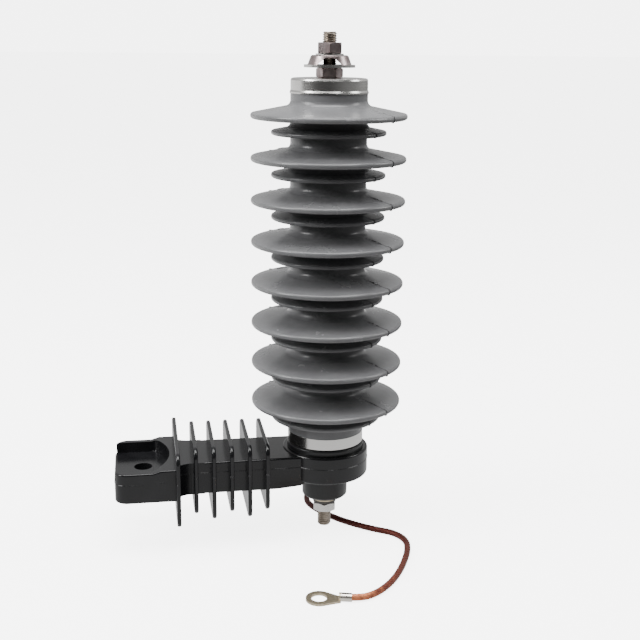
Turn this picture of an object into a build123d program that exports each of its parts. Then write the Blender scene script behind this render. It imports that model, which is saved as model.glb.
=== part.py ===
"""Polymer-housed distribution surge arrester on an insulating bracket, with earth lead.

Origin: centre of the bracket's bolt hole, on the flat underside of the pad.
+X runs from the bolt hole to the arrester, +Z up along the arrester's axis. Millimetres.
"""
import os
from math import cos, radians, sin, tan

from build123d import *

os.makedirs("parts", exist_ok=True)

# ---------------------------------------------------------------- driving sizes
# bracket
AXIS_X = 133.5          # bolt hole to arrester axis
BOLT_HOLE_D = 13.0
PAD_W, PAD_END = 68.6, 20.0       # pad width, bolt hole to the free end
PAD_T, BEAM_T = 21.9, 23.6        # heights of pad and beam
PAD_CORNER_R = 9.0
STEP_X, STEP_RUN = 6.5, 6.0       # ramp from the pad's top up to the beam's
BEAM_W = 46.0
RAMP_RUN, RAMP_RISE = 20.0, 2.0   # slope of the beam's underside up to the cup
SHOULDER = 4.0                    # flare of the beam behind the first fin, each side
EDGE_R = 1.2
POCKET_W, POCKET_FLOOR = 57.8, 14.0
POCKET_REACH, POCKET_SHOULDER = 19.0, 9.5
FIN_X0, FIN_PITCH, FIN_COUNT, FIN_T = 23.8, 12.65, 6, 2.9
FIN_TOP, FIN_W, FIN_W_END = 37.0, 67.0, 87.2
FIN_LOW_LONG, FIN_LOW_SHORT = -17.3, -12.4
FIN_CORNER_R = 7.0
CUP_D, CUP_BOTTOM, CUP_TOP = 62.8, 4.0, 24.6
SEAT_PROUD, SEAT_FLOOR = 0.5, 14.0   # seat gasket beyond the band; floor of its recess

# arrester
CAP_LOW, BAND_H, BAND_PROUD = 28.4, 9.0, 1.0   # lower cap: underside, height, rolled edge
CORE_D, FOOT_PROUD = 53.2, 0.7    # core between the sheds; wider foot above the lower cap
SHED_D, SMALL_SHED_D = 108.0, 79.8
SHED_PITCH, SMALL_DROP = 29.1, 11.3
SHED_COUNT = 8
LOW_RIM_Z = 60.1                  # mid plane of the lowest large rim
SHED_SLOPE, UNDER_SLOPE = 11.5, 5.0   # degrees
RIM_T, SMALL_RIM_T = 3.8, 3.0
CAP_D, BEAD_PROUD = 53.0, 0.6
NECK_H, CAP_H = 15.4, 10.1        # uppermost large rim to the upper cap's skirt; the cap
SHOULDER_R = 1.4                  # rounding of the upper cap's top edge
SHEET = 1.4                       # stainless sheet of the caps
END_WALL, TUBE_WALL = 2.5, 3.9    # rubber over the glass-fibre tube at its ends; the tube
BLOCK_COUNT = 6
PLATE_H = 3.0
SPRING_OD, SPRING_ID, SPRING_T, SPRING_H = 32.0, 12.0, 2.0, 8.1
ELECTRODE_H = 32.0

# M10 hardware
STUD_D, NUT_AF, NUT_H = 9.9, 16.0, 7.4
THREAD_D = 9.4                    # threads drawn plain where they are screwed into something
LOW_NUT_H, EARTH_NUT_H = 7.0, 6.6
BIG_WASHER_D, BIG_WASHER_T = 35.0, 1.8
CLAW_PLATE, CLAW_SPAN, CLAW_H, CLAW_T = 25.0, 30.0, 6.3, 1.8
ARCH_LOW, ARCH_HIGH = 17.0, 6.4   # wire gap between the claws, width at foot and top
THIN_WASHER_D, THIN_WASHER_T = 19.2, 1.0
STUD_RISE = 30.5                  # line terminal stud above the upper cap

# disconnector and earth terminal
DISC_D, DISC_LOW = 34.0, -14.9
CAVITY_D, CAVITY_LOW, CAVITY_TOP = 23.0, -10.5, 0.5
INSERT_D, INSERT_LOW = 13.0, -3.0
STUD_LOW_Z = -39.6
EARTH_WASHER_D, EARTH_WASHER_T = 20.0, 2.0
SPRING_WASHER_D, SPRING_WASHER_T = 17.0, 2.2

# ring lugs and the braid
LUG_OD, LUG_HOLE_D, LUG_T = 17.6, 10.5, 1.6
BARREL_D, BARREL_START, BARREL_END, BARREL_FLOOR = 5.8, 14.5, 21.5, 15.0
NECK_L = 14.5
BRAID_D = 4.6

# named clearances
BORE_FIT = 0.1          # nut bores over the thread, washer and cap bores over the stud, each side
SLIP_FIT = 0.1          # sleeves and seats that slide together, each side
BRAID_FIT = 0.1         # braid in the lug barrel, each side

stud_r = STUD_D / 2
bore_r = stud_r + BORE_FIT
thread_r = THREAD_D / 2
nut_bore_r = thread_r + BORE_FIT
neck_r = CAP_D / 2 - SHEET - SLIP_FIT      # the housing's reduced ends, inside the caps
band_r = neck_r + SLIP_FIT + SHEET + BAND_PROUD
gasket_r = band_r + SEAT_PROUD
tube_r = neck_r - END_WALL
top_rim_z = LOW_RIM_Z + (SHED_COUNT - 1) * SHED_PITCH
cap_skirt_z = top_rim_z + NECK_H
cap_top_z = cap_skirt_z + CAP_H
stud_top_z = cap_top_z + STUD_RISE
axis = Axis((AXIS_X, 0, 0), (0, 0, 1))
section = Plane(origin=(AXIS_X, 0, 0), x_dir=(1, 0, 0), z_dir=(0, -1, 0))


def level(z):
    """Horizontal plane at height z, centred on the arrester's axis."""
    return Plane(origin=(AXIS_X, 0, z))


# ---------------------------------------------------------------- bracket
cup_r = CUP_D / 2
beam_meets_cup = AXIS_X - (cup_r**2 - (BEAM_W / 2) ** 2) ** 0.5

with BuildPart() as bracket:
    # pad: side outline drawn across its width, free corners rounded in plan
    with BuildSketch(Plane.XZ.offset(-PAD_W / 2)):
        with BuildLine():
            Polyline(
                (-PAD_END, 0), (FIN_X0, 0), (FIN_X0, BEAM_T), (STEP_X + STEP_RUN, BEAM_T),
                (STEP_X, PAD_T), (-PAD_END, PAD_T), close=True,
            )
        make_face()
    extrude(amount=PAD_W)
    fillet(bracket.edges().filter_by(Axis.Z).group_by(Axis.X)[0], PAD_CORNER_R)
    pad_sides = bracket.faces().filter_by(Plane.XZ)
    pad_rims = [e for face in pad_sides for e in face.edges() if e.center().X < FIN_X0 - 0.1]
    fillet([e for e in pad_rims if abs(e.tangent_at(0.5).Z) < 0.9], EDGE_R)
    # beam with rounded edges, flared where it leaves the pad
    with BuildSketch(Plane.YZ.offset(FIN_X0 - EDGE_R)):
        with Locations((0, BEAM_T / 2)):
            RectangleRounded(BEAM_W, BEAM_T, EDGE_R)
    extrude(amount=AXIS_X - FIN_X0 + EDGE_R)
    with BuildSketch():
        with BuildLine():
            flare = FilletPolyline(
                (FIN_X0, BEAM_W / 2 + SHOULDER), (FIN_X0 + FIN_PITCH / 2, BEAM_W / 2),
                (FIN_X0 + 1.5 * FIN_PITCH, BEAM_W / 2), radius=FIN_PITCH,
            )
            Polyline(flare @ 1, (FIN_X0 + 1.5 * FIN_PITCH, 0), (FIN_X0, 0), flare @ 0)
        make_face()
        mirror(about=Plane.XZ)
    extrude(amount=BEAM_T)
    # underside rising to the cup
    with BuildSketch(Plane.XZ.offset(-BEAM_W)):
        with BuildLine():
            Polyline(
                (beam_meets_cup - RAMP_RUN, 0), (beam_meets_cup, RAMP_RISE),
                (AXIS_X - DISC_D / 2 - 1, CUP_BOTTOM), (AXIS_X + 1, CUP_BOTTOM),
                (AXIS_X + 1, -1), (beam_meets_cup - RAMP_RUN, -1), close=True,
            )
        make_face()
    extrude(amount=2 * BEAM_W, mode=Mode.SUBTRACT)
    # cup: turned profile with rounded rim and lower edge
    with BuildSketch(section):
        with BuildLine():
            cup_wall = FilletPolyline(
                (0, CUP_BOTTOM), (cup_r, CUP_BOTTOM), (cup_r, CUP_TOP), (0, CUP_TOP),
                radius=[2.2, 1.4],
            )
            Line(cup_wall @ 1, cup_wall @ 0)
        make_face()
    revolve(axis=axis)
    # pocket of the pad, open at the free end
    with BuildSketch(Plane.XY.offset(POCKET_FLOOR)) as pocket_plan:
        with BuildLine():
            Polyline(
                (POCKET_SHOULDER, POCKET_W / 2), (-PAD_END - 1, POCKET_W / 2),
                (-PAD_END - 1, -POCKET_W / 2), (POCKET_SHOULDER, -POCKET_W / 2),
            )
            ThreePointArc(
                (POCKET_SHOULDER, -POCKET_W / 2), (POCKET_REACH, 0),
                (POCKET_SHOULDER, POCKET_W / 2),
            )
        make_face()
        fillet(pocket_plan.vertices().group_by(Axis.X)[-1], 3.0)
    extrude(amount=BEAM_T, mode=Mode.SUBTRACT)
    Hole(BOLT_HOLE_D / 2)
    # fins across the beam: the first stands out past the pad, the rest alternate in depth
    for i in range(FIN_COUNT):
        x = FIN_X0 + i * FIN_PITCH
        width = FIN_W_END if i == 0 else FIN_W
        low = FIN_LOW_LONG if i % 2 == 0 else FIN_LOW_SHORT
        with BuildPart(mode=Mode.PRIVATE) as fin:
            with BuildSketch(Plane.YZ.offset(x - FIN_T / 2)):
                with Locations((0, (FIN_TOP + low) / 2)):
                    RectangleRounded(width, FIN_TOP - low, FIN_CORNER_R)
            extrude(amount=FIN_T)
            fillet(fin.faces().filter_by(Axis.X).edges(), FIN_T * 0.38)
        add(fin.part)
    # seat for the arrester and the stud hole through the cup's floor
    with BuildSketch(level(CUP_TOP)):
        Circle(gasket_r + SLIP_FIT)
    extrude(amount=SEAT_FLOOR - CUP_TOP, mode=Mode.SUBTRACT)
    with BuildSketch(level(SEAT_FLOOR)):
        Circle(bore_r)
    extrude(amount=CUP_BOTTOM - SEAT_FLOOR, mode=Mode.SUBTRACT)
bracket.part.label = "bracket"
export_step(bracket.part, "parts/bracket.step")

with BuildPart() as seat_gasket:
    with BuildSketch(level(SEAT_FLOOR)):
        Circle(gasket_r)
        Circle(bore_r, mode=Mode.SUBTRACT)
    extrude(amount=CAP_LOW - SEAT_FLOOR)
    fillet(seat_gasket.edges().group_by(Axis.Z)[-1].sort_by(SortBy.RADIUS)[-1], 0.8)
seat_gasket.part.label = "seat_gasket"
export_step(seat_gasket.part, "parts/seat_gasket.step")

# ---------------------------------------------------------------- housing
core_r = CORE_D / 2
foot_r = core_r + FOOT_PROUD
housing_low = CAP_LOW + SHEET
housing_high = cap_top_z - SHEET
top_fall, under_fall = tan(radians(SHED_SLOPE)), tan(radians(UNDER_SLOPE))

# outer profile from the bottom up: (radius, height, corner radius)
profile = [
    (neck_r, housing_low, 0), (neck_r, CAP_LOW + BAND_H, 0), (foot_r, CAP_LOW + BAND_H, 0),
]
root_r = foot_r
for i in reversed(range(SHED_COUNT)):
    rim_z = top_rim_z - i * SHED_PITCH
    for radius, mid, thick in (
        (SMALL_SHED_D / 2, rim_z - SMALL_DROP, SMALL_RIM_T),
        (SHED_D / 2, rim_z, RIM_T),
    ):
        reach = radius - core_r
        profile += [
            (root_r, mid - thick / 2 + reach * under_fall, 2.5),
            (radius, mid - thick / 2, thick * 0.46),
            (radius, mid + thick / 2, thick * 0.46),
            (core_r, mid + thick / 2 + reach * top_fall, 4.0),
        ]
        root_r = core_r
profile += [(core_r, cap_skirt_z, 0), (neck_r, cap_skirt_z, 0), (neck_r, housing_high, 0)]

with BuildPart() as housing:
    with BuildSketch(section):
        with BuildLine():
            inner = profile[2:-2]
            wall = FilletPolyline(*[p[:2] for p in inner], radius=[p[2] for p in inner[1:-1]])
            Polyline(wall @ 1, *[p[:2] for p in profile[-2:]],
                     (tube_r, housing_high), (tube_r, housing_low),
                     profile[0][:2], profile[1][:2], wall @ 0)
        make_face()
    revolve(axis=axis)
housing.part.label = "housing"
export_step(housing.part, "parts/housing.step")

# ---------------------------------------------------------------- end caps
with BuildPart() as top_cap:
    wall_r = CAP_D / 2
    bead_r = wall_r + BEAD_PROUD
    with BuildSketch(section):
        with BuildLine():
            Polyline(
                (bore_r, cap_top_z - SHEET), (neck_r + SLIP_FIT, cap_top_z - SHEET),
                (neck_r + SLIP_FIT, cap_skirt_z), (bead_r, cap_skirt_z),
                (bead_r, cap_skirt_z + 1.0), (wall_r, cap_skirt_z + 2.2),
                (wall_r, cap_top_z - SHOULDER_R),
                (wall_r - SHOULDER_R * 0.3, cap_top_z - SHOULDER_R * 0.3),
                (wall_r - SHOULDER_R, cap_top_z), (bore_r, cap_top_z), close=True,
            )
        make_face()
    revolve(axis=axis)
top_cap.part.label = "top_cap"
export_step(top_cap.part, "parts/top_cap.step")

with BuildPart() as bottom_cap:
    with BuildSketch(section):
        with BuildLine():
            Polyline(
                (bore_r, CAP_LOW), (band_r - 1.2, CAP_LOW), (band_r, CAP_LOW + 1.2),
                (band_r, CAP_LOW + BAND_H), (neck_r + SLIP_FIT, CAP_LOW + BAND_H),
                (neck_r + SLIP_FIT, CAP_LOW + SHEET), (bore_r, CAP_LOW + SHEET), close=True,
            )
        make_face()
    revolve(axis=axis)
bottom_cap.part.label = "bottom_cap"
export_step(bottom_cap.part, "parts/bottom_cap.step")

# ---------------------------------------------------------------- column inside the housing
tube_bore_r = tube_r - TUBE_WALL
block_r = tube_bore_r - SLIP_FIT

with BuildPart() as fibre_tube:
    with BuildSketch(level(housing_low)):
        Circle(tube_r)
        Circle(tube_bore_r, mode=Mode.SUBTRACT)
    extrude(amount=housing_high - housing_low)
fibre_tube.part.label = "fibre_tube"
export_step(fibre_tube.part, "parts/fibre_tube.step")

thread_depth = 16.0
with BuildPart() as bottom_electrode:
    with BuildSketch(level(housing_low)):
        Circle(block_r)
    extrude(amount=ELECTRODE_H)
    with BuildSketch(level(housing_low)):
        Circle(nut_bore_r)
    extrude(amount=thread_depth, mode=Mode.SUBTRACT)
bottom_electrode.part.label = "bottom_electrode"
export_step(bottom_electrode.part, "parts/bottom_electrode.step")

with BuildPart() as top_electrode:
    with BuildSketch(level(housing_high)):
        Circle(block_r)
    extrude(amount=-ELECTRODE_H)
    with BuildSketch(level(housing_high)):
        Circle(nut_bore_r)
    extrude(amount=-thread_depth, mode=Mode.SUBTRACT)
top_electrode.part.label = "top_electrode"
export_step(top_electrode.part, "parts/top_electrode.step")

# metal-oxide blocks between contact plates, pressed together by a disc-spring pack
stack_z = housing_low + ELECTRODE_H
stack_h = housing_high - housing_low - 2 * ELECTRODE_H - 2 * PLATE_H - SPRING_H
block_h = stack_h / BLOCK_COUNT
with BuildPart() as contact_plate_low:
    with BuildSketch(level(stack_z)):
        Circle(block_r - 0.5)
    extrude(amount=PLATE_H)
contact_plate_low.part.label = "contact_plate_low"
export_step(contact_plate_low.part, "parts/contact_plate_low.step")

stack_z += PLATE_H
for i in range(BLOCK_COUNT):
    with BuildPart() as block:
        with BuildSketch(level(stack_z)):
            Circle(block_r)
        extrude(amount=block_h)
        chamfer(block.edges().filter_by(GeomType.CIRCLE), 0.8)
    block.part.label = f"varistor_{i + 1}"
    export_step(block.part, f"parts/varistor_{i + 1}.step")
    stack_z += block_h

with BuildPart() as contact_plate_high:
    with BuildSketch(level(stack_z)):
        Circle(block_r - 0.5)
    extrude(amount=PLATE_H)
contact_plate_high.part.label = "contact_plate_high"
export_step(contact_plate_high.part, "parts/contact_plate_high.step")
stack_z += PLATE_H

with BuildPart() as spring_pack:
    with BuildSketch(section):
        with BuildLine():
            outer, inner_r, mid = SPRING_OD / 2, SPRING_ID / 2, stack_z + SPRING_H / 2
            Polyline(
                (inner_r, mid - SPRING_T / 2), (outer, stack_z), (outer, stack_z + SPRING_T),
                (inner_r + SPRING_T, mid), (outer, stack_z + SPRING_H - SPRING_T),
                (outer, stack_z + SPRING_H), (inner_r, mid + SPRING_T / 2), close=True,
            )
        make_face()
    revolve(axis=axis)
spring_pack.part.label = "spring_pack"
export_step(spring_pack.part, "parts/spring_pack.step")

# ---------------------------------------------------------------- line terminal on top
low_nut_z = cap_top_z
big_washer_z = low_nut_z + LOW_NUT_H
claw_z = big_washer_z + BIG_WASHER_T
thin_washer_z = claw_z + CLAW_H
upper_nut_z = thin_washer_z + THIN_WASHER_T
top_free_z = upper_nut_z + NUT_H

with BuildPart() as top_stud:
    with BuildSketch(level(housing_high - thread_depth)):
        Circle(thread_r)
    extrude(amount=top_free_z - housing_high + thread_depth)
    # free end above the nut, at the thread's full diameter
    with BuildSketch(level(top_free_z)):
        Circle(stud_r)
    extrude(amount=stud_top_z - top_free_z)
    chamfer(top_stud.edges().group_by(Axis.Z)[-1], 1.0)
top_stud.part.label = "top_stud"
export_step(top_stud.part, "parts/top_stud.step")

with BuildPart() as top_flat_washer:
    with BuildSketch(level(big_washer_z)):
        Circle(BIG_WASHER_D / 2)
        Circle(bore_r, mode=Mode.SUBTRACT)
    extrude(amount=BIG_WASHER_T)
top_flat_washer.part.label = "top_flat_washer"
export_step(top_flat_washer.part, "parts/top_flat_washer.step")

# wire-clamp washer: a plate with two broad claws bent down, their tips on the flat washer
claw_low_r, claw_high_r = CLAW_SPAN / 2, CLAW_PLATE / 2 - 0.5
with BuildPart() as claw_washer:
    with BuildSketch(section):
        with BuildLine():
            Polyline(
                (bore_r, claw_z + CLAW_H - CLAW_T), (claw_high_r - 0.5, claw_z + CLAW_H - CLAW_T),
                (claw_low_r - CLAW_T, claw_z), (claw_low_r, claw_z),
                (claw_high_r + 0.9, claw_z + CLAW_H - 0.7), (claw_high_r, claw_z + CLAW_H),
                (bore_r, claw_z + CLAW_H), close=True,
            )
        make_face()
    revolve(axis=axis)
    # an arched gap on two sides between the claws, where the wire passes
    for turn in (80, 260):
        out = (cos(radians(turn)), sin(radians(turn)), 0)
        gap_plane = Plane(origin=(AXIS_X, 0, claw_z), x_dir=(-out[1], out[0], 0), z_dir=out)
        with BuildSketch(gap_plane.offset(bore_r - 1)):
            with BuildLine():
                Polyline(
                    (-ARCH_LOW / 2, -0.1), (-ARCH_HIGH / 2, CLAW_H - CLAW_T),
                    (ARCH_HIGH / 2, CLAW_H - CLAW_T), (ARCH_LOW / 2, -0.1), close=True,
                )
            make_face()
        extrude(amount=CLAW_SPAN / 2, mode=Mode.SUBTRACT)
claw_washer.part.label = "claw_washer"
export_step(claw_washer.part, "parts/claw_washer.step")

with BuildPart() as top_thin_washer:
    with BuildSketch(level(thin_washer_z)):
        Circle(THIN_WASHER_D / 2)
        Circle(bore_r, mode=Mode.SUBTRACT)
    extrude(amount=THIN_WASHER_T)
top_thin_washer.part.label = "top_thin_washer"
export_step(top_thin_washer.part, "parts/top_thin_washer.step")

# ---------------------------------------------------------------- stud joining arrester and disconnector
insert_high = CUP_BOTTOM
with BuildPart() as base_stud:
    base_stud_low = INSERT_LOW + 1.0
    with BuildSketch(level(base_stud_low)):
        Circle(thread_r)
    extrude(amount=housing_low + thread_depth - base_stud_low)
    chamfer(base_stud.edges().filter_by(GeomType.CIRCLE), 0.8)
base_stud.part.label = "base_stud"
export_step(base_stud.part, "parts/base_stud.step")

# ---------------------------------------------------------------- disconnector
disc_r, cavity_r, insert_r = DISC_D / 2, CAVITY_D / 2, INSERT_D / 2
with BuildPart() as disconnector_housing:
    with BuildSketch(section):
        with BuildLine():
            Polyline(
                (insert_r, insert_high), (disc_r, insert_high), (disc_r - 0.4, DISC_LOW + 1.6),
                (disc_r - 2.0, DISC_LOW), (nut_bore_r, DISC_LOW), (nut_bore_r, CAVITY_LOW),
                (cavity_r, CAVITY_LOW), (cavity_r, CAVITY_TOP), (insert_r, CAVITY_TOP), close=True,
            )
        make_face()
    revolve(axis=axis)
disconnector_housing.part.label = "disconnector_housing"
export_step(disconnector_housing.part, "parts/disconnector_housing.step")

with BuildPart() as disconnector_insert:
    with BuildSketch(level(INSERT_LOW)):
        Circle(insert_r)
    extrude(amount=insert_high - INSERT_LOW)
    with BuildSketch(level(insert_high)):
        Circle(nut_bore_r)
    extrude(amount=base_stud_low - insert_high, mode=Mode.SUBTRACT)
disconnector_insert.part.label = "disconnector_insert"
export_step(disconnector_insert.part, "parts/disconnector_insert.step")

head_high = CAVITY_LOW + 2.5
with BuildPart() as grading_resistor:
    with BuildSketch(level(head_high)):
        Circle(cavity_r - 0.5)
        Circle(insert_r + 0.5, mode=Mode.SUBTRACT)
    extrude(amount=CAVITY_TOP - head_high)
grading_resistor.part.label = "grading_resistor"
export_step(grading_resistor.part, "parts/grading_resistor.step")

with BuildPart() as cartridge:
    with BuildSketch(level(head_high)):
        Circle(3.4)
    extrude(amount=INSERT_LOW - 1.0 - head_high)
cartridge.part.label = "cartridge"
export_step(cartridge.part, "parts/cartridge.step")

with BuildPart() as gap_plate:
    with BuildSketch(level(INSERT_LOW - 1.0)):
        Circle(5.2)
    extrude(amount=1.0)
gap_plate.part.label = "gap_plate"
export_step(gap_plate.part, "parts/gap_plate.step")

earth_washer_z = DISC_LOW - EARTH_WASHER_T
lug_z = earth_washer_z - LUG_T
spring_z = lug_z - SPRING_WASHER_T
earth_nut_z = spring_z - EARTH_NUT_H

with BuildPart() as earth_stud:
    with BuildSketch(level(CAVITY_LOW)):
        Circle(cavity_r - 0.5)
    extrude(amount=head_high - CAVITY_LOW)
    with BuildSketch(level(CAVITY_LOW)):
        Circle(thread_r)
    extrude(amount=earth_nut_z - CAVITY_LOW)
    # free end below the nut, at the thread's full diameter
    with BuildSketch(level(earth_nut_z)):
        Circle(stud_r)
    extrude(amount=STUD_LOW_Z - earth_nut_z)
    chamfer(earth_stud.edges().group_by(Axis.Z)[0], 1.0)
earth_stud.part.label = "earth_stud"
export_step(earth_stud.part, "parts/earth_stud.step")

# ---------------------------------------------------------------- earth terminal
with BuildPart() as earth_flat_washer:
    with BuildSketch(level(earth_washer_z)):
        Circle(EARTH_WASHER_D / 2)
        Circle(bore_r, mode=Mode.SUBTRACT)
    extrude(amount=EARTH_WASHER_T)
earth_flat_washer.part.label = "earth_flat_washer"
export_step(earth_flat_washer.part, "parts/earth_flat_washer.step")

with BuildPart() as earth_spring_washer:
    with BuildSketch(level(spring_z)):
        Circle(SPRING_WASHER_D / 2)
        Circle(bore_r, mode=Mode.SUBTRACT)
    extrude(amount=SPRING_WASHER_T)
earth_spring_washer.part.label = "earth_spring_washer"
export_step(earth_spring_washer.part, "parts/earth_spring_washer.step")

# ---------------------------------------------------------------- hexagon nuts
# each stands on height low, chamfered on both faces, with one corner at the angle turn
nut_corner_r = NUT_AF / 2 / cos(radians(30))
nut_face_r = NUT_AF * 0.47
nut_chamfer = (nut_corner_r - nut_face_r) * tan(radians(30))
for label, low, height, turn in (
    ("top_lower_nut", low_nut_z, LOW_NUT_H, -10),
    ("top_upper_nut", upper_nut_z, NUT_H, 20),
    ("earth_nut", earth_nut_z, EARTH_NUT_H, 20),
):
    high = low + height
    hexagon = Plane(origin=(AXIS_X, 0, low), x_dir=(cos(radians(turn)), sin(radians(turn)), 0))
    with BuildPart() as nut:
        with BuildSketch(hexagon):
            RegularPolygon(nut_corner_r, 6)
            Circle(nut_bore_r, mode=Mode.SUBTRACT)
        extrude(amount=height)
        with BuildSketch(section):
            with BuildLine():
                Polyline(
                    (0, low), (nut_face_r, low), (nut_corner_r, low + nut_chamfer),
                    (nut_corner_r, high - nut_chamfer), (nut_face_r, high), (0, high), close=True,
                )
            make_face()
        revolve(axis=axis, mode=Mode.INTERSECT)
    nut.part.label = label
    export_step(nut.part, f"parts/{label}.step")

# ---------------------------------------------------------------- earth lead
STUD_LUG_TURN = 72.0              # heading of the lug at the stud, degrees from +X
FAR_LUG_TURN = 165.0              # heading from the far lug's barrel to its ring
FAR_LUG_AT = (-22.8, -113.3)      # its ring centre from the arrester's axis
floor_z = STUD_LOW_Z

stud_out = (cos(radians(STUD_LUG_TURN)), sin(radians(STUD_LUG_TURN)), 0)
stud_frame = Plane(origin=(AXIS_X, 0, lug_z), x_dir=stud_out)
stud_barrel_low = DISC_LOW - 1.0 - BARREL_D - lug_z
far_in = (-cos(radians(FAR_LUG_TURN)), -sin(radians(FAR_LUG_TURN)), 0)
far_frame = Plane(origin=(AXIS_X + FAR_LUG_AT[0], FAR_LUG_AT[1], floor_z), x_dir=far_in)

# ring plate in the plane frame, crimp barrel along +X of it with its lowest line at barrel_low
ring_r = LUG_OD / 2
for label, frame, barrel_low, hole_r in (
    ("stud_lug", stud_frame, stud_barrel_low, bore_r + 0.2),
    ("far_lug", far_frame, 0, LUG_HOLE_D / 2),
):
    barrel_axis = frame.from_local_coords((BARREL_START, 0, barrel_low + BARREL_D / 2))
    along = Plane(origin=barrel_axis, z_dir=frame.x_dir)
    with BuildPart() as lug:
        with BuildSketch(frame):
            with BuildLine():
                Polyline(
                    (ring_r * 0.45, ring_r * 0.89), (NECK_L, BARREL_D / 2),
                    (NECK_L, -BARREL_D / 2), (ring_r * 0.45, -ring_r * 0.89), close=True,
                )
            make_face()
            Circle(ring_r)
            Circle(hole_r, mode=Mode.SUBTRACT)
        extrude(amount=LUG_T)
        with BuildSketch(along.offset(-1.5)):
            Circle(BARREL_D / 2)
        extrude(amount=BARREL_END - BARREL_START + 1.5)
        with BuildSketch(along.offset(BARREL_FLOOR - BARREL_START)):
            Circle(BRAID_D / 2 + BRAID_FIT)
        extrude(amount=BARREL_END - BARREL_FLOOR, mode=Mode.SUBTRACT)
    lug.part.label = label
    export_step(lug.part, f"parts/{label}.step")

# route of the braid from the stud lug's barrel floor to the far lug's, from the arrester's axis
lying_z = floor_z + BRAID_D / 2 + 0.1
barrel_z = lug_z + stud_barrel_low + BARREL_D / 2
far_barrel_z = floor_z + BARREL_D / 2
start = stud_frame.from_local_coords((BARREL_FLOOR, 0, stud_barrel_low + BARREL_D / 2))
finish = far_frame.from_local_coords((BARREL_FLOOR, 0, BARREL_D / 2))
route = [
    (start.X - AXIS_X, start.Y, start.Z),
    (8.5, 26.2, barrel_z),
    (12.2, 39.6, barrel_z),
    (6.9, 49.6, -23.2),
    (-3.0, 50.0, -30.7),
    (-7.9, 40.8, -37.1),
    (-6.2, 28.1, lying_z),
    (1.2, 14.0, lying_z),
    (10.8, 0.3, lying_z),
    (21.5, -10.5, lying_z),
    (34.0, -20.8, lying_z),
    (47.5, -29.0, lying_z),
    (53.6, -42.0, lying_z),
    (50.8, -57.5, lying_z),
    (44.4, -73.5, lying_z),
    (36.4, -89.5, lying_z),
    (26.6, -104.0, lying_z),
    (14.6, -115.4, lying_z),
    (3.3, -120.3, far_barrel_z),
    (finish.X - AXIS_X, finish.Y, finish.Z),
]
points = [Vector(AXIS_X + x, y, z) for x, y, z in route]
runs = [b - a for a, b in zip(points, points[1:])]
radii = []
for before, after in zip(runs, runs[1:]):
    turn = before.get_angle(after)
    radii.append(0.45 * min(before.length, after.length) / tan(radians(turn / 2)))
    print(f"bend {len(radii)}: run {before.length:.1f} mm, turn {turn:.1f} deg, radius {radii[-1]:.1f} mm")

with BuildPart() as lead_braid:
    with BuildLine() as lead_path:
        FilletPolyline(*points, radius=radii)
    with BuildSketch(Plane(origin=points[0], z_dir=runs[0])):
        Circle(BRAID_D / 2)
    sweep(path=lead_path.wires()[0])
lead_length = lead_path.wires()[0].length
print(f"lead: length {lead_length:.1f} mm, volume {lead_braid.part.volume:.1f} mm3, "
      f"section x length {3.14159265 * BRAID_D**2 / 4 * lead_length:.1f} mm3")
lead_braid.part.label = "lead_braid"
export_step(lead_braid.part, "parts/lead_braid.step")
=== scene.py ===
"""Looks of the distribution surge arrester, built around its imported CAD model.

Metres, in the part's own frame: origin at the bracket's bolt hole, +X towards the arrester,
+Z up along the arrester's axis.
"""

from math import cos, pi, radians, sin

import bmesh
import bpy
from mathutils import Matrix, Vector


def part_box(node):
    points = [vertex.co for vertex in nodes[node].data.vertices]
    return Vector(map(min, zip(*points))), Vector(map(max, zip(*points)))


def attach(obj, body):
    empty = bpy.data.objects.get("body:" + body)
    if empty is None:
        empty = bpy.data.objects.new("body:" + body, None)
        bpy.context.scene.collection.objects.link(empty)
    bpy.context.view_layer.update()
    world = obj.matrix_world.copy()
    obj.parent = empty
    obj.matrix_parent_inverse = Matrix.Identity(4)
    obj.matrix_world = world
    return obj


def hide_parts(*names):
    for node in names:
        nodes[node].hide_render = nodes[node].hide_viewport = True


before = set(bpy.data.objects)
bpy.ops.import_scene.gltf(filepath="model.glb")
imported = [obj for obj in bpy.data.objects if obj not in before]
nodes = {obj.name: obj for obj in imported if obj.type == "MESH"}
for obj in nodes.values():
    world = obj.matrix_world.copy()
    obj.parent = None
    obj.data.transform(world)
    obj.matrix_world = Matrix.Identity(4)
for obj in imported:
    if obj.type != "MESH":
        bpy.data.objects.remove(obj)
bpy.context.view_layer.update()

# ---------------------------------------------------------------- camera
# Stands level with the line terminal, 0.75 m from the arrester, and looks down on the bracket.
# The lens is a short telephoto one, so that the sheds keep much the same width down the column.
camera_data = bpy.data.cameras.new("camera")
camera_data.lens, camera_data.sensor_width = 60.32, 36.0
camera = bpy.data.objects.new("camera", camera_data)
bpy.context.scene.collection.objects.link(camera)
CAMERA_AT = Vector((0.0026, -0.7359, 0.3133))
HEADING, DOWN, ROLL = 0.1698, 0.2542, 0.0106
camera.matrix_world = (
    Matrix.Translation(CAMERA_AT)
    @ Matrix.Rotation(-HEADING, 4, "Z")
    @ Matrix.Rotation(pi / 2 - DOWN, 4, "X")
    @ Matrix.Rotation(ROLL, 4, "Z")
)
bpy.context.scene.camera = camera

# ---------------------------------------------------------------- studio
# A white table and a white sweep behind it, with the room dark on the camera's side. One soft box
# hangs overhead and a tall one stands each side, so that the round parts have bright edges.
AXIS_X, TABLE_REACH = 0.1335, 30.0
floor_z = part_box("earth_stud")[0].z

bm = bmesh.new()
bmesh.ops.create_grid(bm, x_segments=1, y_segments=1, size=TABLE_REACH)
bmesh.ops.translate(bm, verts=bm.verts, vec=(AXIS_X, 0, floor_z))
floor_mesh = bpy.data.meshes.new("floor")
bm.to_mesh(floor_mesh)
bm.free()
floor = bpy.data.objects.new("floor", floor_mesh)
bpy.context.scene.collection.objects.link(floor)


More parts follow.
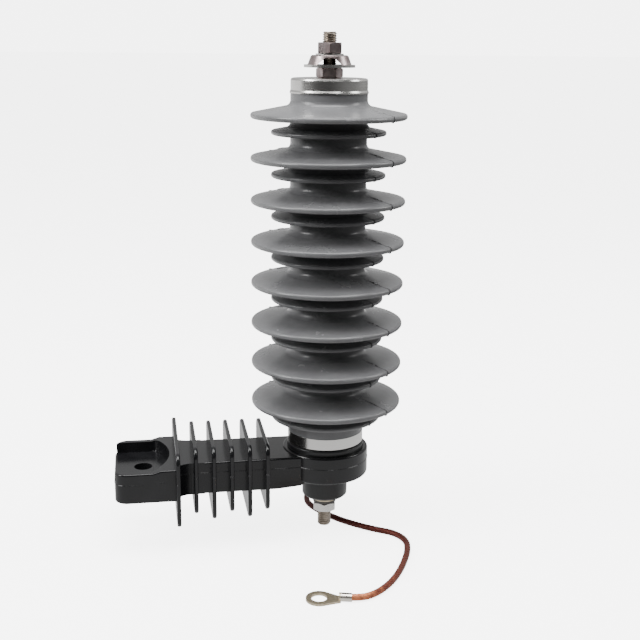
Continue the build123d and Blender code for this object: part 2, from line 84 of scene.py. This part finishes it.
class Socket:
    """A shader socket, or a number, that Python's operators turn into Math nodes."""

    def __init__(self, tree, value):
        self.tree, self.value = tree, value

    def _math(self, operation, *values):
        node = self.tree.nodes.new("ShaderNodeMath")
        node.operation = operation
        for socket, value in zip(node.inputs, values):
            put(self.tree, socket, value)
        return Socket(self.tree, node.outputs[0])

    def __add__(self, other):
        return self._math("ADD", self, other)

    def __sub__(self, other):
        return self._math("SUBTRACT", self, other)

    def __rsub__(self, other):
        return self._math("SUBTRACT", other, self)

    def __mul__(self, other):
        return self._math("MULTIPLY", self, other)

    def __truediv__(self, other):
        return self._math("DIVIDE", self, other)

    def __mod__(self, other):
        return self._math("FLOORED_MODULO", self, other)

    def __rtruediv__(self, other):
        return self._math("DIVIDE", other, self)

    def __rmod__(self, other):
        return self._math("FLOORED_MODULO", other, self)

    __radd__, __rmul__ = __add__, __mul__

    def absolute(self):
        return self._math("ABSOLUTE", self)

    def band(self, low, high):
        """0 below low, 1 above high, smooth between."""
        node = self.tree.nodes.new("ShaderNodeMapRange")
        node.interpolation_type = "SMOOTHSTEP"
        put(self.tree, node.inputs["Value"], self)
        node.inputs["From Min"].default_value = low
        node.inputs["From Max"].default_value = high
        return Socket(self.tree, node.outputs[0])


def put(tree, socket, value):
    """Links a Socket to a node's input, or sets a plain value on it."""
    value = value.value if isinstance(value, Socket) else value
    if isinstance(value, bpy.types.NodeSocket):
        tree.links.new(value, socket)
    else:
        socket.default_value = value


class Nodes:
    """The nodes of one material, or of the sky."""

    def __init__(self, owner, kind):
        owner.use_nodes = True
        self.tree = owner.node_tree
        self.tree.nodes.clear()
        self.output = self.tree.nodes.new(kind)

    def node(self, kind, settings=None, values=None, output=0):
        """One node: its settings are set first, then its sockets by name or number."""
        made = self.tree.nodes.new("ShaderNode" + kind)
        for name, value in (settings or {}).items():
            setattr(made, name, value)
        for name, value in (values or {}).items():
            put(self.tree, made.inputs[name], value)
        return Socket(self.tree, made.outputs[output])

    def split(self, where):
        """The X, Y and Z of a place as three Sockets."""
        parts = self.tree.nodes.new("ShaderNodeSeparateXYZ")
        put(self.tree, parts.inputs[0], where)
        return [Socket(self.tree, out) for out in parts.outputs]

    def mix(self, factor, first, second):
        """Colour between first and second."""
        first, second = ((*c, 1) if isinstance(c, tuple) else c for c in (first, second))
        return self.node("Mix", {"data_type": "RGBA"}, {0: factor, 6: first, 7: second}, output=2)


class Finish(Nodes):
    """A material with one Principled shader, and the nodes that feed it."""

    def __init__(self, name, **values):
        self.material = bpy.data.materials.new(name)
        super().__init__(self.material, "ShaderNodeOutputMaterial")
        self.shader = self.tree.nodes.new("ShaderNodeBsdfPrincipled")
        self.tree.links.new(self.shader.outputs[0], self.output.inputs[0])
        self.set(**values)

    def set(self, **values):
        """Sets the shader's own sockets, such as roughness=0.4 or base_color=socket."""
        for name, value in values.items():
            socket = self.shader.inputs[name.replace("_", " ").title().replace("Ior", "IOR")]
            put(self.tree, socket, (*value, 1) if isinstance(value, tuple) else value)

    def place(self, centre=(0, 0, 0), turn=0.0, scale=(1, 1, 1)):
        """Object coordinates about a centre, turned about Z."""
        where = self.node("TexCoord", output="Object")
        about = self.node("VectorMath", {"operation": "SUBTRACT"}, {0: where, 1: centre})
        return self.node("Mapping", {}, {0: about, "Rotation": (0, 0, turn), "Scale": scale})

    def noise(self, where, scale, detail=3.0, roughness=0.55):
        return self.node("TexNoise", {}, {
            "Vector": where, "Scale": scale, "Detail": detail, "Roughness": roughness})

    def bump(self, height, distance, strength=1.0):
        normal = self.node("Bump", {}, {
            "Strength": strength, "Distance": distance, "Height": height})
        put(self.tree, self.shader.inputs["Normal"], normal)

    def on(self, *names):
        """Gives this finish to CAD nodes, in place of their plain material."""
        for name in names:
            nodes[name].data.materials.clear()
            nodes[name].data.materials.append(self.material)


# to the eye the table is as pale as the sweep; the parts mirror it white under the arrester and
# behind it, grey on the right, and dark where it runs out in front
TABLE_PALE, SWEEP_PALE = 4.9, 5.6
TABLE_REAR, TABLE_NEAR, TABLE_RIGHT, TABLE_FRONT = 1.5, 1.0, 0.22, 0.05
PATCH_AT, PATCH_EDGE = (AXIS_X - 0.03, 0, 0), (0.28, 0.50)
REAR_SKEW, REAR_EDGE, RIGHT_EDGE = 0.5, (0.50, 0.75), (-0.20, 0.90)
PAPER = (0.86, 0.86, 0.86, 1)
table_paper = bpy.data.materials.new("table_paper")
paper = Nodes(table_paper, "ShaderNodeOutputMaterial")
where = paper.node("VectorMath", {"operation": "SUBTRACT"}, {
    0: paper.node("TexCoord", output="Object"), 1: PATCH_AT})
x, y, z = paper.split(where)
away = paper.node("VectorMath", {"operation": "LENGTH"}, {0: where}, output="Value")
near = 1 - away.band(*PATCH_EDGE)
rear = ((y - x * REAR_SKEW) / away).band(*REAR_EDGE)
right = (x / away).band(*RIGHT_EDGE)
beyond = rear * TABLE_REAR + right * TABLE_RIGHT + TABLE_FRONT
mirrored = near * TABLE_NEAR + (1 - near) * beyond
dim = paper.node("Emission", {}, {0: (1, 1, 1, 1), 1: mirrored})
pale = paper.node("AddShader", {}, {
    0: paper.node("BsdfDiffuse", {}, {0: PAPER}),
    1: paper.node("Emission", {}, {0: (1, 1, 1, 1), 1: TABLE_PALE})})
seen = paper.node("LightPath", output="Is Camera Ray")
put(paper.tree, paper.output.inputs[0], paper.node("MixShader", {}, {0: seen, 1: dim, 2: pale}))
floor_mesh.materials.append(table_paper)

FRONT_DIM, REAR_BRIGHT, REAR_RISE = 0.10, 0.55, (-0.25, 0.45)
world = bpy.data.worlds.new("studio")
sky = Nodes(world, "ShaderNodeOutputWorld")
rearward = sky.split(sky.node("TexCoord", output="Generated"))[1]
seen = sky.node("LightPath", output="Is Camera Ray")
glow = rearward.band(*REAR_RISE) * REAR_BRIGHT + FRONT_DIM
put(sky.tree, sky.output.inputs[0], sky.node("Background", {}, {
    0: (1, 1, 1, 1), 1: seen * SWEEP_PALE + (1 - seen) * glow}))
bpy.context.scene.world = world

arrester = Vector((AXIS_X, 0, 0.12))


def soft_box(name, at, width, height, power):
    """A rectangular area light that faces the middle of the arrester."""
    data = bpy.data.lights.new(name, "AREA")
    data.shape, data.size, data.size_y, data.energy = "RECTANGLE", width, height, power
    light = bpy.data.objects.new(name, data)
    bpy.context.scene.collection.objects.link(light)
    light.location = at
    light.rotation_euler = (arrester - Vector(at)).to_track_quat("-Z", "Y").to_euler()


soft_box("overhead", (0.05, -0.25, 1.45), width=1.3, height=0.9, power=32)
soft_box("left_box", (-1.15, -0.25, 0.95), width=0.6, height=0.9, power=20)
soft_box("right_box", (1.40, -0.15, 0.95), width=0.5, height=0.9, power=8)

# ---------------------------------------------------------------- earth lead
# A limp lead of fine copper wires, plaited in bundles. It hangs from the lug that the earth nut
# clamps, lies on the floor and ends in a tinned ring lug, with its copper browned by age towards
# the arrester and still bright at the far end.
BRAID_D = 0.0046
LYING_Z, BARREL_Z, FAR_BARREL_Z = -0.0372, -0.0188, -0.0367
lead_route = [
    (0.00464, 0.01427, BARREL_Z), (0.0085, 0.0262, BARREL_Z), (0.0122, 0.0396, BARREL_Z),
    (0.0069, 0.0496, -0.0232), (-0.0030, 0.0500, -0.0307), (-0.0079, 0.0408, -0.0371),
    (-0.0062, 0.0281, LYING_Z), (0.0012, 0.0140, LYING_Z), (0.0108, 0.0003, LYING_Z),
    (0.0215, -0.0105, LYING_Z), (0.0340, -0.0208, LYING_Z), (0.0475, -0.0290, LYING_Z),
    (0.0536, -0.0420, LYING_Z), (0.0508, -0.0575, LYING_Z), (0.0444, -0.0735, LYING_Z),
    (0.0364, -0.0895, LYING_Z), (0.0266, -0.1040, LYING_Z), (0.0146, -0.1154, LYING_Z),
    (0.0033, -0.1203, FAR_BARREL_Z), (-0.00831, -0.11718, FAR_BARREL_Z),
]
lead_line = bpy.data.curves.new("lead_line", "CURVE")
lead_line.dimensions, lead_line.resolution_u = "3D", 24
spline = lead_line.splines.new("NURBS")
spline.points.add(len(lead_route) - 1)
for point, (x, y, z) in zip(spline.points, lead_route):
    point.co = (AXIS_X + x, y, z, 1)
spline.order_u, spline.use_endpoint_u = 3, True

line_object = bpy.data.objects.new("lead_line", lead_line)
bpy.context.scene.collection.objects.link(line_object)
line_mesh = bpy.data.meshes.new_from_object(
    line_object.evaluated_get(bpy.context.evaluated_depsgraph_get()))
centreline = [v.co.copy() for v in line_mesh.vertices]
bpy.data.objects.remove(line_object)
bpy.data.meshes.remove(line_mesh)

# along the line: distance so far, and a pair of crosswise directions carried without twist
travelled, sideways = [0.0], []
forward = [(b - a).normalized() for a, b in zip(centreline, centreline[1:])]
forward.append(forward[-1])
across = forward[0].cross(Vector((0, 0, 1))).normalized()
for i, ahead in enumerate(forward):
    across = (across - ahead * across.dot(ahead)).normalized()
    sideways.append((across.copy(), ahead.cross(across)))
    if i:
        travelled.append(travelled[-1] + (centreline[i] - centreline[i - 1]).length)
lead_length = travelled[-1]


def on_lead(distance):
    """Point, heading and crosswise directions at a distance along the lead."""
    distance = min(max(distance, 0.0), lead_length)
    i = next(k for k in range(1, len(travelled)) if travelled[k] >= distance)
    part = (distance - travelled[i - 1]) / (travelled[i] - travelled[i - 1])
    first, second = (a.lerp(b, part) for a, b in zip(sideways[i - 1], sideways[i]))
    return centreline[i - 1].lerp(centreline[i], part), forward[i - 1], first, second


# bundles of wires wind each way round the lead and pass over and under each other
BUNDLES, LAY, STEP, SIDES = 7, 0.0190, 0.0008, 10
BUNDLE_W, BUNDLE_T, OUTER_R = 0.00180, 0.00055, 0.00235
LAYER_SINK, WEAVE_SINK, SINK_DEPTH = 0.7, 0.3, 0.7
bm = bmesh.new()
steps = int(lead_length / STEP)
slope = pi * BRAID_D / LAY
turned, along, sunk = [], [], []
for way in (1, -1):
    for bundle in range(BUNDLES):
        rings = []
        for k in range(steps + 1):
            middle, ahead, first, second = on_lead(lead_length * k / steps)
            angle = 2 * pi * (lead_length * k / steps / LAY + bundle / BUNDLES)
            weave = (1 - way * cos(BUNDLES * angle)) / 2
            under = (1 - way) / 2 * LAYER_SINK + weave * WEAVE_SINK
            out = first * cos(way * angle) + second * sin(way * angle)
            round_it = second * cos(way * angle) - first * sin(way * angle)
            flat = (round_it - ahead * slope * way).normalized()
            centre = middle + out * (OUTER_R - BUNDLE_T * (1 + SINK_DEPTH * under))
            ring = []
            for side in range(SIDES):
                t = 2 * pi * side / SIDES - pi / 2
                ring.append(bm.verts.new(
                    centre + flat * (BUNDLE_W / 2 * cos(t)) + out * (BUNDLE_T * sin(t))))
                turned.append(side / SIDES)
                along.append(k / steps)
                sunk.append(under)
            rings.append(ring)
        for a, b in zip(rings, rings[1:]):
            for side in range(SIDES):
                bm.faces.new((a[side], a[(side + 1) % SIDES], b[(side + 1) % SIDES], b[side]))
        bm.faces.new(rings[0][::-1])
        bm.faces.new(rings[-1])
bmesh.ops.recalc_face_normals(bm, faces=bm.faces)
for name, values in (("along", along), ("turned", turned), ("sunk", sunk)):
    layer = bm.verts.layers.float.new(name)
    for vert, value in zip(bm.verts, values):
        vert[layer] = value
braid_mesh = bpy.data.meshes.new("braid_bundles")
bm.to_mesh(braid_mesh)
bm.free()
for face in braid_mesh.polygons:
    face.use_smooth = True
braid = bpy.data.objects.new("braid_bundles", braid_mesh)
bpy.context.scene.collection.objects.link(braid)

# worn runs from 0 at the arrester to 1 at the far lug, wires goes once round each bundle
WIRES_ACROSS = 14
copper = Finish("bare_copper", metallic=0.7)
place = copper.place()
worn = copper.node("Attribute", {"attribute_name": "along"}, output="Fac")
wires = copper.node("Attribute", {"attribute_name": "turned"}, output="Fac")
patches = copper.noise(place, 240, 4)
along_it = worn + (patches - 0.5) * 0.3
# painted shade: a darker copy of the copper colour, still browner towards the arrester, goes on
# the sides of each bundle, where they meet, and on bundles where they pass under others
under_for_painted_shade = copper.node("Attribute", {"attribute_name": "sunk"}, output="Fac")
painted_crevice_shade = (wires - 0.5).absolute().band(0.13, 0.24)
shade = 1 - (1 - painted_crevice_shade) * (1 - under_for_painted_shade.band(0.2, 0.8) * 0.75)
aged = copper.mix(along_it.band(0.35, 1.05), (0.070, 0.012, 0.009), (0.22, 0.060, 0.036))
bare = copper.mix(along_it.band(0.86, 1.0), aged, (0.74, 0.26, 0.12))
painted_shade_copper = copper.mix(along_it.band(0.70, 1.0), (0.018, 0.004, 0.003), (0.13, 0.028, 0.014))
groove = ((wires * WIRES_ACROSS) % 1 - 0.5).absolute() * 2
copper.set(base_color=copper.mix(shade, bare, painted_shade_copper), roughness=patches * 0.2 + 0.30)
copper.bump(groove, 0.00006, 0.7)
braid_mesh.materials.append(copper.material)
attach(braid, "root")
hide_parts("lead_braid")

# ---------------------------------------------------------------- ring lugs
# Stamped and rolled from tinned copper, one at each end of the lead, crimped on the braid. The
# flat ring has gone dull and yellow, and the barrel is bright, with the slot where its edges meet.
LUG_AT, LUG_TURN = (AXIS_X - 0.0228, -0.1133, 0), radians(15)
BARREL_FROM, SLOT_HALF = (0.0138, 0.0146), (0.00018, 0.00042)
tin = Finish("tinned_copper", metallic=1.0)
place = tin.place()
dull = tin.noise(place, 420, 4)
along_lug, across_lug, z = tin.split(tin.place(LUG_AT, LUG_TURN))
barrel = along_lug.band(*BARREL_FROM)
slot = barrel * (1 - across_lug.absolute().band(*SLOT_HALF))
plate = tin.mix(dull.band(0.35, 0.75), (0.71, 0.61, 0.45), (0.55, 0.47, 0.33))
rolled = tin.mix(dull, (0.92, 0.87, 0.80), (0.74, 0.68, 0.60))
tin.set(
    base_color=tin.mix(slot, tin.mix(barrel, plate, rolled), (0.05, 0.035, 0.025)),
    roughness=dull * 0.2 + 0.30 - barrel * 0.12,
)
tin.bump(tin.noise(place, 900, 3), 0.00004, 0.4)
tin.on("stud_lug", "far_lug")

# ---------------------------------------------------------------- housing
# One moulding of grey silicone rubber over the glass-fibre tube; the mould leaves a fine seam
# up two sides of the sheds and a trace of flash at their rims.
SEAM_TURN, SEAM_HALF, SEAM_FROM, SEAM_DEPTH = radians(-47), (0.0002, 0.0006), (0.034, 0.040), 0.55
rubber = Finish("grey_silicone", specular_ior_level=0.5)
place = rubber.place((AXIS_X, 0, 0), -SEAM_TURN)
x, y, z = rubber.split(place)
dust = rubber.noise(place, 38, 5, 0.6)
grain = rubber.noise(place, 1400, 3)
seam = (1 - y.absolute().band(*SEAM_HALF)) * x.absolute().band(*SEAM_FROM)
grey = rubber.mix(dust.band(0.3, 0.8), (0.150, 0.151, 0.155), (0.190, 0.191, 0.195))
rubber.set(
    base_color=rubber.mix(seam * SEAM_DEPTH, grey, (0.05, 0.05, 0.052)),
    roughness=dust * 0.12 + 0.20,
)
rubber.bump(grain * 0.3 + dust * 0.04, 0.0001, 0.4)
rubber.on("housing")


def flash_line(name, node, finish, planes, width, height):
    """A fine raised line round a moulding, where a plane cuts the outline of its CAD node.

    A plane is a point, its normal and a test that says how much of the height a point gets."""
    whole = bmesh.new()
    for point, across, share in planes:
        bm = bmesh.new()
        bm.from_mesh(nodes[node].data)
        bmesh.ops.remove_doubles(bm, verts=bm.verts, dist=1e-6)
        made = bmesh.ops.bisect_plane(
            bm, geom=bm.verts[:] + bm.edges[:] + bm.faces[:], dist=1e-7,
            plane_co=point, plane_no=across)["geom_cut"]
        bm.normal_update()
        lift = {v: v.normal * height * share(v.co) for v in made
                if isinstance(v, bmesh.types.BMVert) and share(v.co) > 0}
        edges = {e for e in made if isinstance(e, bmesh.types.BMEdge)}
        bmesh.ops.delete(bm, geom=bm.faces[:], context="FACES_ONLY")
        bmesh.ops.delete(bm, geom=[v for v in bm.verts if v not in lift], context="VERTS")
        bmesh.ops.delete(bm, geom=[e for e in bm.edges if e not in edges], context="EDGES")
        ridge = bm.edges[:]
        for side in (1, -1):
            lip = bmesh.ops.extrude_edge_only(bm, edges=ridge)["geom"]
            bmesh.ops.translate(bm, vec=across * width / 2 * side,
                                verts=[g for g in lip if isinstance(g, bmesh.types.BMVert)])
        for v, up in lift.items():
            v.co += up
        base = bmesh.ops.extrude_edge_only(
            bm, edges=[g for g in lip if isinstance(g, bmesh.types.BMEdge)])["geom"]
        bmesh.ops.translate(bm, vec=across * width,
                            verts=[g for g in base if isinstance(g, bmesh.types.BMVert)])
        bmesh.ops.remove_doubles(bm, verts=bm.verts, dist=1e-7)
        bmesh.ops.holes_fill(bm, edges=[e for e in bm.edges if e.is_boundary], sides=4)
        part = bpy.data.meshes.new(name)
        bm.to_mesh(part)
        bm.free()
        whole.from_mesh(part)
        bpy.data.meshes.remove(part)
    bmesh.ops.recalc_face_normals(whole, faces=whole.faces)
    mesh = bpy.data.meshes.new(name)
    whole.to_mesh(mesh)
    whole.free()
    line = bpy.data.objects.new(name, mesh)
    bpy.context.scene.collection.objects.link(line)
    mesh.materials.append(finish.material)
    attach(line, "root")


# distances from the axis: the core's face, between small and large sheds, and where rims begin
CORE_R, BETWEEN_R, LARGE_RIM_R, SMALL_RIM_R, RIM_RISE = 0.030, 0.045, 0.0515, 0.0382, 0.0015
FACE_SHARE = 0.25


def on_sheds(co):
    """Thin on a shed's faces, thick at its rim, and none on the core."""
    reach = Vector((co.x - AXIS_X, co.y)).length
    rim = LARGE_RIM_R if reach > BETWEEN_R else SMALL_RIM_R
    at_rim = max(0.0, min(1.0, (reach - rim) / RIM_RISE))
    return 0.0 if reach < CORE_R else FACE_SHARE + (1 - FACE_SHARE) * at_rim


flash_line("mould_flash", "housing", rubber, [
    (Vector((AXIS_X, 0, 0)), Vector((-sin(SEAM_TURN), cos(SEAM_TURN), 0)), on_sheds)],
    width=0.00045, height=0.00065)

# ---------------------------------------------------------------- end caps
# Drawn from stainless sheet: the top one has a rounded shoulder and a rolled lower edge, and the
# lower one stands on the seat in the bracket's cup. Both keep fine lines round them from the tool.
stainless = Finish("drawn_stainless", metallic=1.0)
turned = stainless.noise(stainless.place((AXIS_X, 0, 0), 0, (1, 1, 90)), 30, 3)
stainless.set(
    base_color=stainless.mix(turned, (0.62, 0.61, 0.59), (0.74, 0.73, 0.71)),
    roughness=turned * 0.12 + 0.18,
)
stainless.bump(turned, 0.00003, 0.5)
stainless.on("top_cap", "bottom_cap")

# ---------------------------------------------------------------- bracket
# One compression moulding of black glass-filled polyester, glossy from the tool, with the
# parting line half way up and a flow grain in its broad faces.
moulding = Finish("black_moulding", specular_ior_level=0.42)
place = moulding.place()
flow = moulding.noise(place, 60, 5, 0.6)
peel = moulding.noise(place, 420, 2)
black = moulding.mix(flow.band(0.35, 0.8), (0.0065, 0.0067, 0.0075), (0.013, 0.013, 0.0145))
moulding.set(
    base_color=black,
    roughness=flow * 0.12 + 0.13,
)
moulding.bump(peel * 0.25 + flow * 0.25, 0.00012, 0.4)
moulding.on("bracket")

# the two halves of its mould meet lower along the pad than along the beam
PAD_LINE_Z, BEAM_LINE_Z, STEP_X0, STEP_X1 = 0.01385, 0.0159, 0.006, 0.022
PAD_SIDE_Y, PAD_END_X, CUP_FROM_X, CUP_SIDE_R = 0.03, -0.015, 0.10, 0.0305
climb = Vector((PAD_LINE_Z - BEAM_LINE_Z, 0, STEP_X1 - STEP_X0)).normalized()
flash_line("mould_parting", "bracket", moulding, [
    (Vector((0, 0, PAD_LINE_Z)), Vector((0, 0, 1)), lambda co: float(
        co.x < STEP_X0 and (abs(co.y) > PAD_SIDE_Y or co.x < PAD_END_X))),
    (Vector((STEP_X0, 0, PAD_LINE_Z)), climb, lambda co: float(STEP_X0 < co.x < STEP_X1)),
    (Vector((0, 0, BEAM_LINE_Z)), Vector((0, 0, 1)), lambda co: float(co.x > STEP_X1 and (
        Vector((co.x - AXIS_X, co.y)).length > CUP_SIDE_R or co.x < CUP_FROM_X))),
], width=0.0005, height=0.00022)

# ---------------------------------------------------------------- disconnector and its seat
# The disconnector's body is a plastic moulding that hangs under the cup on the arrester's own
# stud, and the seat is a rubber ring between cup and lower cap. Both are a duller black.
dull_black = Finish("dull_black", specular_ior_level=0.45)
place = dull_black.place()
bloom = dull_black.noise(place, 120, 4)
dull_black.set(
    base_color=dull_black.mix(bloom, (0.009, 0.0095, 0.010), (0.018, 0.0185, 0.019)),
    roughness=bloom * 0.15 + 0.26,
)
dull_black.bump(bloom, 0.0001, 0.4)
dull_black.on("seat_gasket", "disconnector_housing")

# ---------------------------------------------------------------- studs, nuts and washers
# M10 hardware of plated steel, screwed together by hand and spanner. The plating is bright, with
# a warm tarnish on the upper nuts and the clamp washer, and the spring washer is blackened.
plated = Finish("plated_steel", metallic=1.0)
place = plated.place()
tarnish = plated.noise(place, 150, 4)
plated.set(
    base_color=plated.mix(tarnish.band(0.4, 0.7), (0.42, 0.36, 0.355), (0.27, 0.215, 0.21)),
    roughness=tarnish * 0.18 + 0.2,
)
plated.bump(plated.noise(place, 700, 3), 0.00004, 0.5)
plated.on("top_lower_nut", "claw_washer", "top_upper_nut")

bright = Finish("bright_zinc", metallic=1.0)
place = bright.place()
spangle = bright.noise(place, 500, 3)
bright.set(
    base_color=bright.mix(spangle, (0.80, 0.79, 0.77), (0.60, 0.59, 0.57)),
    roughness=spangle * 0.2 + 0.16,
)
bright.bump(spangle, 0.00003, 0.4)
bright.on("top_flat_washer", "top_thin_washer", "earth_flat_washer", "earth_nut")

blackened = Finish("blackened_spring_steel", metallic=1.0)
scale = blackened.noise(blackened.place(), 600, 3)
blackened.set(
    base_color=blackened.mix(scale, (0.05, 0.048, 0.046), (0.12, 0.115, 0.11)),
    roughness=scale * 0.2 + 0.22,
)
blackened.bump(scale, 0.00003, 0.4)
blackened.on("earth_spring_washer")

# the studs have rolled M10 threads, with lower crests where a nut, a cap or an insert holds them
PITCH, CREST_R, ROOT_R, HELD_R, END_BEVEL = 0.0015, 0.00495, 0.00412, 0.0047, 0.0009
RIDGE = ((CREST_R, 0.0), (CREST_R, 0.16), (ROOT_R, 0.52), (ROOT_R, 0.64))
TURN_STEPS, HEAD_SIDES, HEAD_BEVEL, EARTH_HEAD_Z = 30, 64, 0.0004, -0.0105
threaded = Finish("plated_thread", metallic=1.0)
place = threaded.place((AXIS_X, 0, 0))
tarnish = threaded.noise(place, 240, 4)
threaded.set(
    base_color=threaded.mix(tarnish.band(0.35, 0.7), (0.52, 0.47, 0.41), (0.30, 0.26, 0.22)),
    roughness=tarnish * 0.2 + 0.24,
)
threaded.bump(threaded.noise(place, 900, 3), 0.00003, 0.5)
threaded.on("base_stud")


def rolled_stud(name, node, held, head_low=None):
    """A threaded rod in place of a CAD stud, with a plain head where the stud has one."""
    low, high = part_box(node)[0].z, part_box(node)[1].z
    bm = bmesh.new()
    if head_low:
        wide = (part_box(node)[1].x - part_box(node)[0].x) / 2
        bmesh.ops.create_cone(
            bm, cap_ends=True, segments=HEAD_SIDES, radius1=wide, radius2=wide,
            depth=high - head_low, matrix=Matrix.Translation((AXIS_X, 0, (high + head_low) / 2)))
        bmesh.ops.bevel(
            bm, geom=[e for e in bm.edges if abs(e.verts[0].co.z - e.verts[1].co.z) < 1e-6],
            offset=HEAD_BEVEL, segments=2, profile=0.5, affect="EDGES", material=-1)
        high = head_low + PITCH
    old = set(bm.verts)
    outline = []
    for k in range(int((high - low) / PITCH) + 4):
        for reach, part in RIDGE:
            outline.append(bm.verts.new((AXIS_X + reach, 0, low + (k - 2 + part) * PITCH)))
    edges = [bm.edges.new(pair) for pair in zip(outline, outline[1:])]
    bmesh.ops.spin(
        bm, geom=outline + edges, cent=(AXIS_X, 0, 0), axis=(0, 0, 1), angle=2 * pi,
        dvec=(0, 0, PITCH / TURN_STEPS), steps=TURN_STEPS, use_merge=False)
    bmesh.ops.remove_doubles(bm, verts=[v for v in bm.verts if v not in old], dist=2e-6)
    for height, facing in ((low, -1), (high, 1)):
        rod = [v for v in bm.verts if v not in old]
        rod += [e for e in bm.edges if e.verts[0] not in old]
        rod += [f for f in bm.faces if f.verts[0] not in old]
        bmesh.ops.bisect_plane(
            bm, geom=rod, dist=1e-7, clear_outer=True,
            plane_co=(AXIS_X, 0, height), plane_no=(0, 0, facing))
        rim = [e for e in bm.edges if e.is_boundary and all(
            abs(v.co.z - height) < 1e-6 for v in e.verts)]
        bmesh.ops.contextual_create(bm, geom=rim)
    for v in [v for v in bm.verts if v not in old]:
        reach = Vector((v.co.x - AXIS_X, v.co.y)).length
        most = CREST_R - END_BEVEL + min(v.co.z - low, high - v.co.z)
        if held[0] < v.co.z < held[1]:
            most = min(most, HELD_R)
        if reach > most:
            v.co.x = AXIS_X + (v.co.x - AXIS_X) * most / reach
            v.co.y *= most / reach
    bmesh.ops.recalc_face_normals(bm, faces=bm.faces)
    mesh = bpy.data.meshes.new(name)
    bm.to_mesh(mesh)
    bm.free()
    stud = bpy.data.objects.new(name, mesh)
    bpy.context.scene.collection.objects.link(stud)
    mesh.materials.append(threaded.material)
    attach(stud, "root")
    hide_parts(node)


rolled_stud("line_terminal_thread", "top_stud", (0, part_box("top_upper_nut")[1].z))
rolled_stud("earth_terminal_thread", "earth_stud", (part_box("earth_nut")[0].z, 1),
            head_low=EARTH_HEAD_Z)

# ---------------------------------------------------------------- column inside the housing
# Hidden once assembled: metal-oxide blocks, disc springs and aluminium electrodes stacked in a
# glass-fibre tube, and under them the disconnector's insert, resistor, gap plate and cartridge.
for name, colour, metal, rough, members in (
    ("glass_fibre", (0.46, 0.40, 0.22), 0.0, 0.45, ["fibre_tube"]),
    ("metal_oxide", (0.055, 0.052, 0.05), 0.0, 0.6, [f"varistor_{i}" for i in range(1, 7)]),
    ("cast_aluminium", (0.70, 0.70, 0.71), 1.0, 0.38,
     ["bottom_electrode", "top_electrode", "contact_plate_low", "contact_plate_high"]),
    ("spring_steel", (0.40, 0.40, 0.42), 1.0, 0.3,
     ["spring_pack", "disconnector_insert", "gap_plate", "cartridge"]),
    ("resistor_ceramic", (0.10, 0.10, 0.11), 0.0, 0.5, ["grading_resistor"]),
):
    inner = Finish(name, metallic=metal)
    mottle = inner.noise(inner.place(), 220, 4)
    shade = tuple(0.72 * c for c in colour)
    inner.set(base_color=inner.mix(mottle, shade, colour), roughness=mottle * 0.15 + rough)
    inner.bump(mottle, 0.00008, 0.4)
    inner.on(*members)
